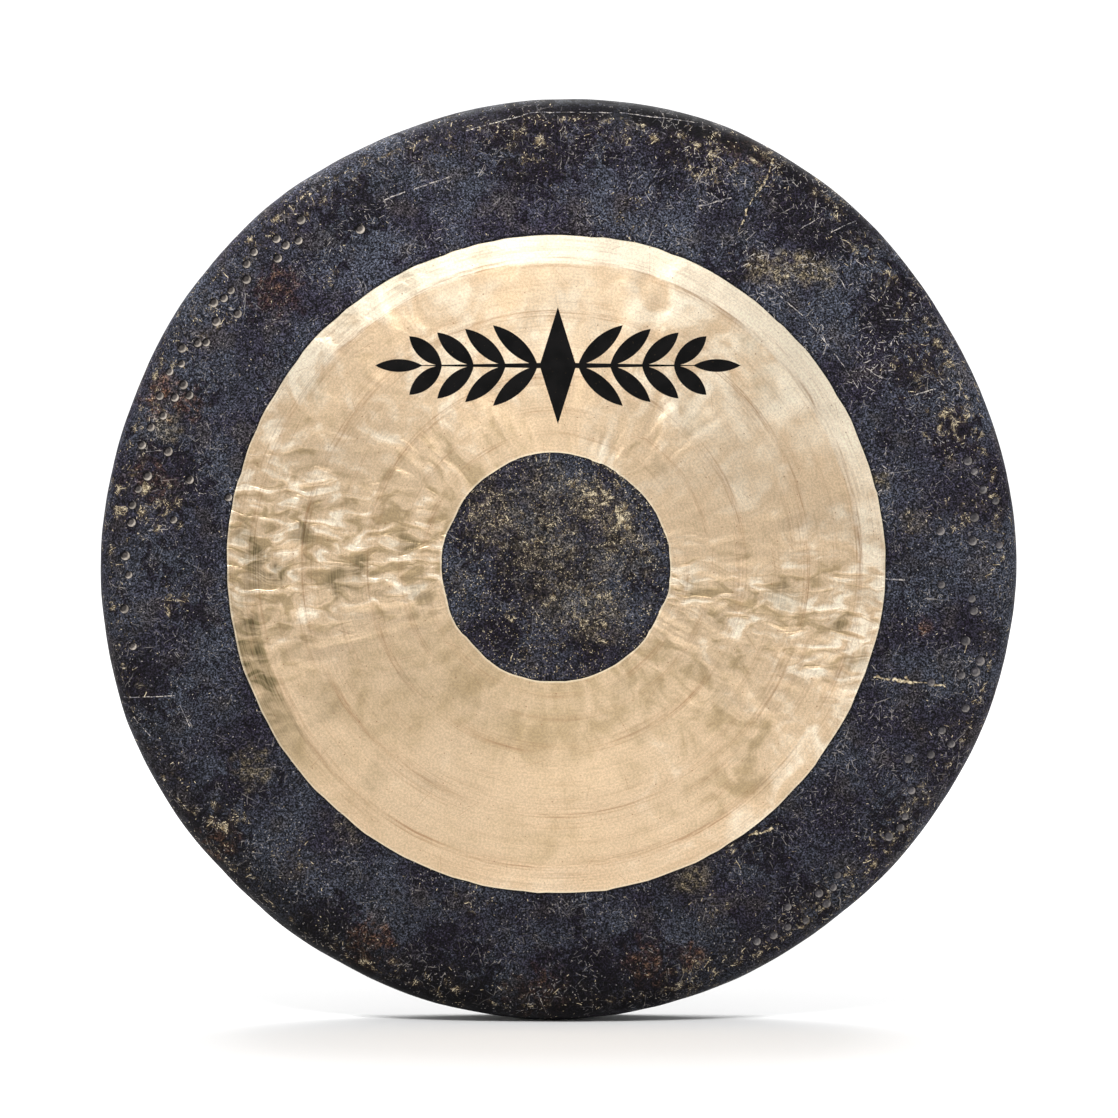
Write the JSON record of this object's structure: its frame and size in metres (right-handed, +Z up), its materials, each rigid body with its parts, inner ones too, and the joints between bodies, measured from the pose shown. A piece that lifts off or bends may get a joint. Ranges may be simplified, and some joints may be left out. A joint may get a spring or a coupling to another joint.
{
  "type": "tam-tam gong",
  "caption": "Large flat hammered bronze gong with a dark scale ring and centre, a bright turned band, a shallow turned-back rim and cord holes at the top.",
  "frame": {"origin": "on the gong's axis, half way between the struck face and the rear edge of the rim", "axes": "+Z up as the gong hangs, -Y out of the struck face towards the player, +Y along the gong's axis to the open back, +X to the right of someone facing the gong"},
  "size_m": [0.66, 0.058, 0.66],
  "materials": {
    "bronze": "hammered, then turned to a satin shine",
    "forge_scale": "dull blue-black scale with worn spots",
    "ink": "flat black screen ink"
  },
  "bodies": {
    "root": {"bronze_plate": "bronze", "outer_scale": "forge_scale", "centre_scale": "forge_scale", "back_scale": "forge_scale", "printed_mark": "ink"}
  },
  "joints": []
}
